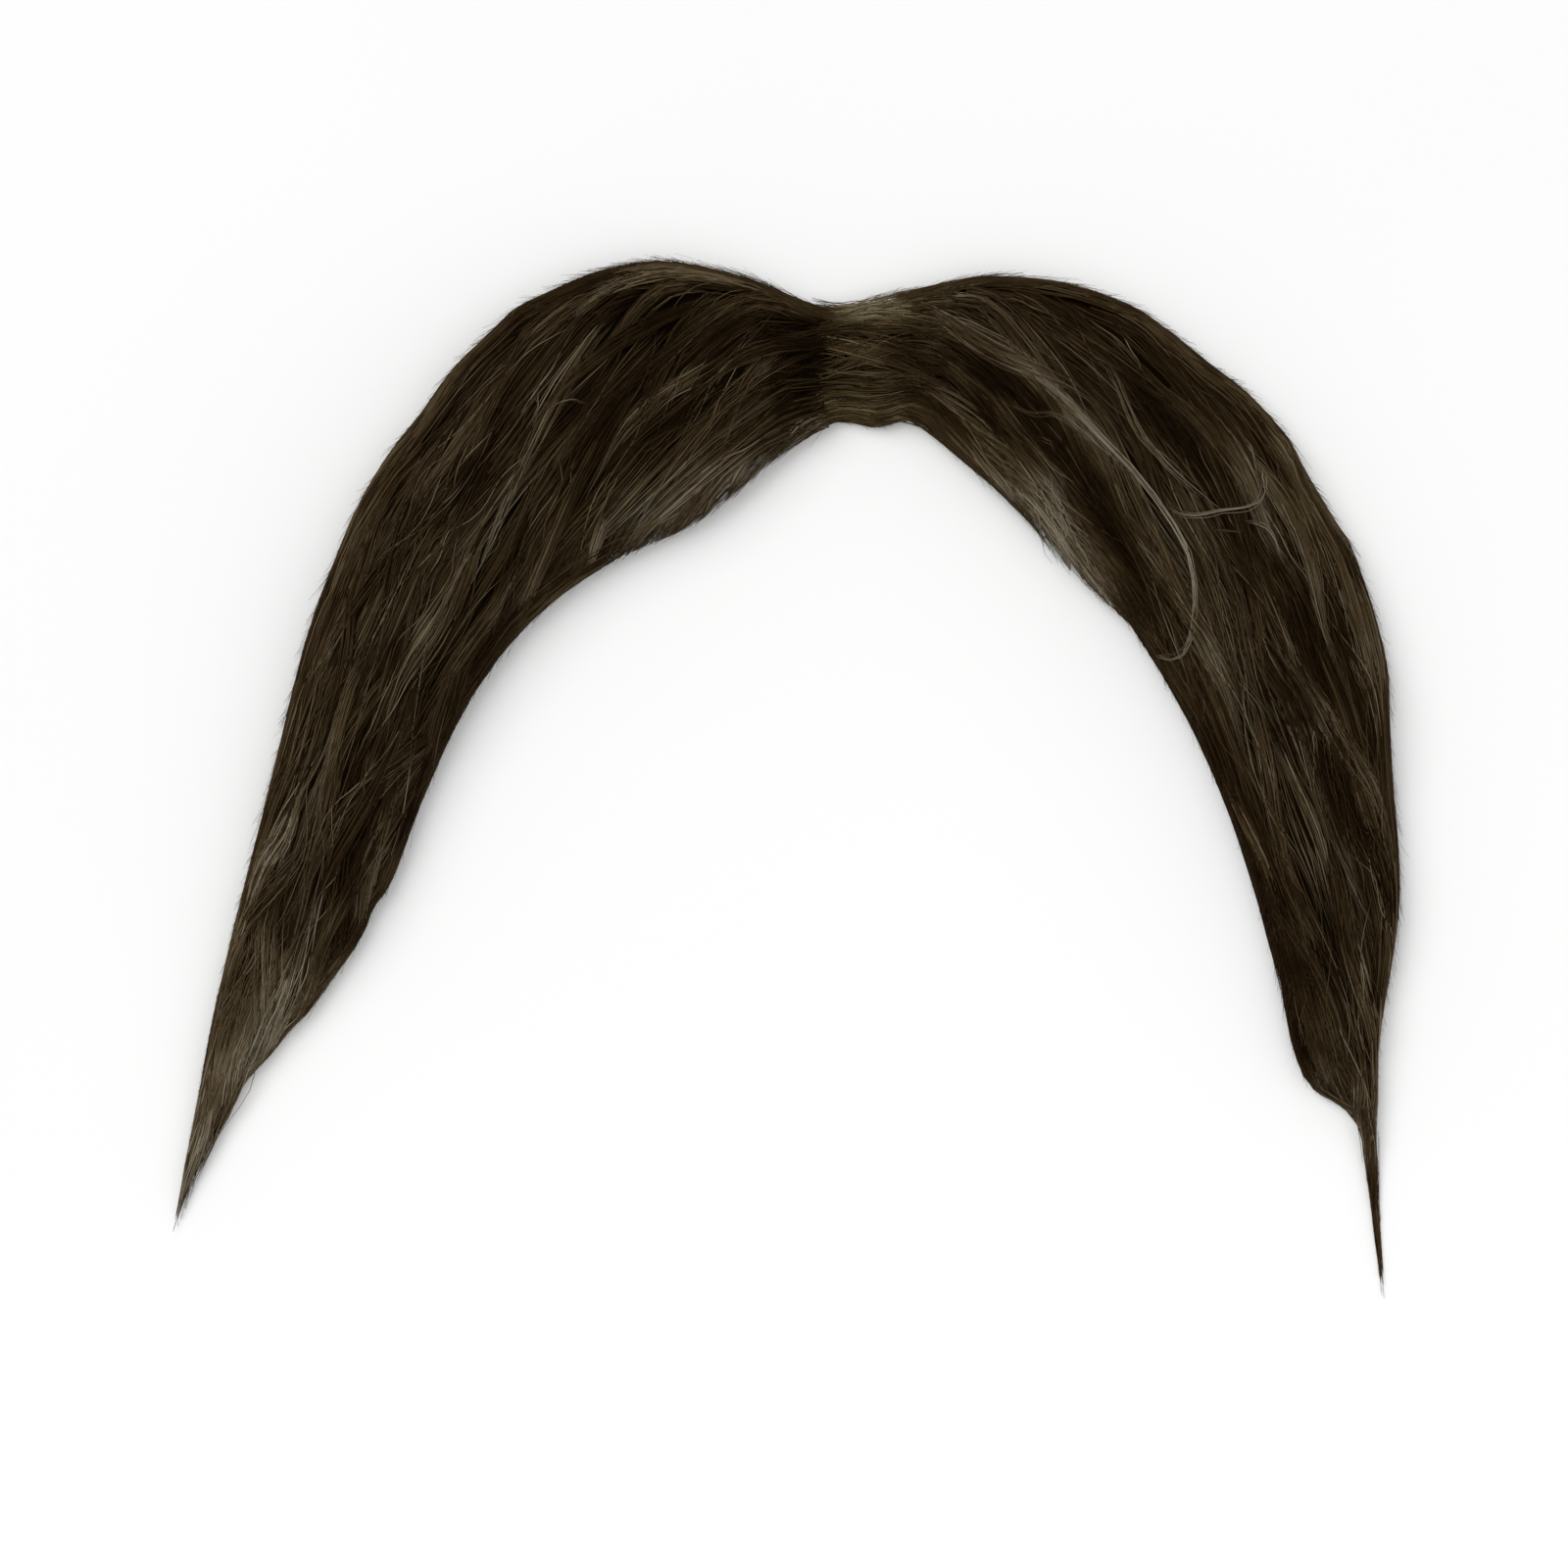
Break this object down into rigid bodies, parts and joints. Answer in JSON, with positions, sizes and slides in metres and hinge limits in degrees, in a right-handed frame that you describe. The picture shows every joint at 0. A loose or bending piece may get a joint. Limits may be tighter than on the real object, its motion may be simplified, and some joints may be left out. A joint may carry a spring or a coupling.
{
  "type": "fake moustache",
  "caption": "Stick-on costume moustache: drooping wings of combed dark brown hair that meet at a narrow bridge on a flat cloth backing, lying on its back.",
  "frame": {"origin": "middle of the bridge, on the underside of the cloth backing", "axes": "+X to the viewer's right across the moustache, +Y up the face, +Z out of the face through the hair"},
  "size_m": [0.139, 0.1193, 0.0105],
  "materials": {
    "backing_cloth": "matt woven cloth",
    "wing_hair": "combed hair with a soft sheen",
    "bridge_hair": "short combed hair"
  },
  "bodies": {
    "root": {"backing": "backing_cloth", "left_wing": "wing_hair", "right_wing": "wing_hair", "bridge": "bridge_hair"}
  },
  "joints": []
}
